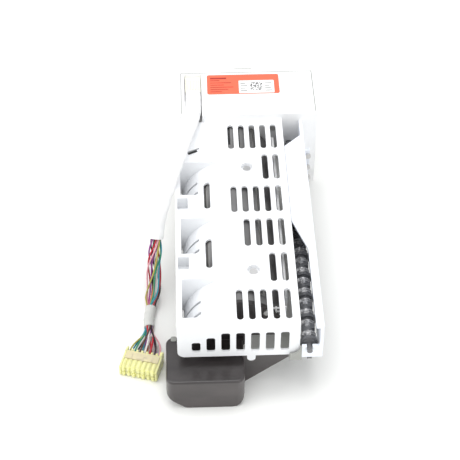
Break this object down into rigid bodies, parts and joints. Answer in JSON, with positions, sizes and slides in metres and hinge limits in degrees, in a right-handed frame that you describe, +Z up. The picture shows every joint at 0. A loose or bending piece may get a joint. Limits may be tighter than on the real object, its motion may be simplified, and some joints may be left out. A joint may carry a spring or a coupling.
{
  "type": "ice maker",
  "caption": "Refrigerator ice maker lying upside down: slotted mould cover, gearbox, water cup, ejector, level lever and plug-ended wiring harness.",
  "frame": {"origin": "middle of the footprint, on the bench plane, with the unit lying upside down as it is handled on a bench", "axes": "+Z up from the bench, +Y from the water cup towards the gearbox, +X towards the level lever"},
  "size_m": [0.1834, 0.341, 0.099],
  "materials": {
    "cover_white": "satin",
    "case_white": "satin",
    "guard_white": "satin",
    "bracket_grey": "satin",
    "cup_dark": "satin",
    "lever_dark": "gloss",
    "mold_coating": "satin",
    "fin_metal": "satin",
    "heater_steel": "satin",
    "sensor_epoxy": "gloss",
    "stripper_white": "satin",
    "ejector_white": "satin",
    "screw_steel": "satin",
    "gear_acetal": "satin",
    "bush_acetal": "satin",
    "plate_grey": "satin",
    "motor_can": "satin",
    "switch_black": "satin",
    "board_green": "gloss",
    "component_black": "satin",
    "button_blue": "gloss",
    "spring_steel": "satin",
    "label_orange": "satin",
    "plug_ivory": "satin",
    "sleeve_white": "satin",
    "wire_colours": "satin",
    "tape_grey": "matte",
    "connector_yellow": "gloss",
    "contact_brass": "satin"
  },
  "bodies": {
    "root": {"vent_cover": "cover_white", "harness_clip": "cover_white", "cover_screws": "screw_steel", "ice_mold": "mold_coating", "mold_dividers": "mold_coating", "mold_fins": "fin_metal", "mold_heater": "heater_steel", "thermistor": "sensor_epoxy", "thermal_fuse": "sensor_epoxy", "stripper": "stripper_white", "stripper_screws": "screw_steel", "water_cup": "cup_dark", "cup_screws": "screw_steel", "ejector_bush_near": "bush_acetal", "ejector_bush_far": "bush_acetal", "idler_pin": "screw_steel", "gear_plate": "plate_grey", "drive_motor": "motor_can", "motor_screws": "screw_steel", "limit_switches": "switch_black", "gearbox_case": "case_white", "gearbox_front_cover": "case_white", "front_cover_screws": "screw_steel", "control_board": "board_green", "board_parts": "component_black", "board_screws": "screw_steel", "test_button_spring": "spring_steel", "button_switch": "switch_black", "rating_label": "label_orange", "harness_header": "plug_ivory", "harness_plug": "plug_ivory", "end_bracket": "bracket_grey", "side_guard": "guard_white", "guard_screws": "screw_steel", "lever_spring": "spring_steel", "harness_wires": "wire_colours", "harness_sleeve": "sleeve_white", "harness_tape": "tape_grey", "wire_connector": "connector_yellow", "connector_contacts": "contact_brass"},
    "ejector": {"ejector_shaft": "ejector_white", "output_gear": "gear_acetal"},
    "idler": {"idler_gear": "gear_acetal"},
    "motor_rotor": {"motor_pinion": "gear_acetal"},
    "level_lever": {"level_lever": "lever_dark", "lever_cam": "gear_acetal"},
    "test_button": {"test_button": "button_blue"}
  },
  "joints": [
    {"name": "ejector_turn", "type": "hinge", "parent": "root", "child": "ejector", "pos_m": [-0.0115, 0, 0.028], "axis": [0, 1, 0], "continuous": true},
    {"name": "idler_turn", "type": "hinge", "parent": "root", "child": "idler", "pos_m": [0.0237, 0.1105, 0.028], "axis": [0, 1, 0], "continuous": true},
    {"name": "motor_turn", "type": "hinge", "parent": "root", "child": "motor_rotor", "pos_m": [0.04206, 0.1105, 0.0174], "axis": [0, 1, 0], "continuous": true},
    {"name": "lever_swing", "type": "hinge", "parent": "root", "child": "level_lever", "pos_m": [0.0462, -0.0235, 0.05], "axis": [0, 1, 0], "range_deg": [-20, 28], "stiffness_Nm_per_rad": 0.004},
    {"name": "button_press", "type": "slide", "parent": "root", "child": "test_button", "axis": [0, -1, 0], "range_m": [0, 0.0016], "stiffness_N_per_m": 300}
  ],
  "couplings": [
    {"joint": "idler_turn", "follows": "ejector_turn", "ratio": -1.3333},
    {"joint": "motor_turn", "follows": "ejector_turn", "ratio": 3.3333}
  ]
}
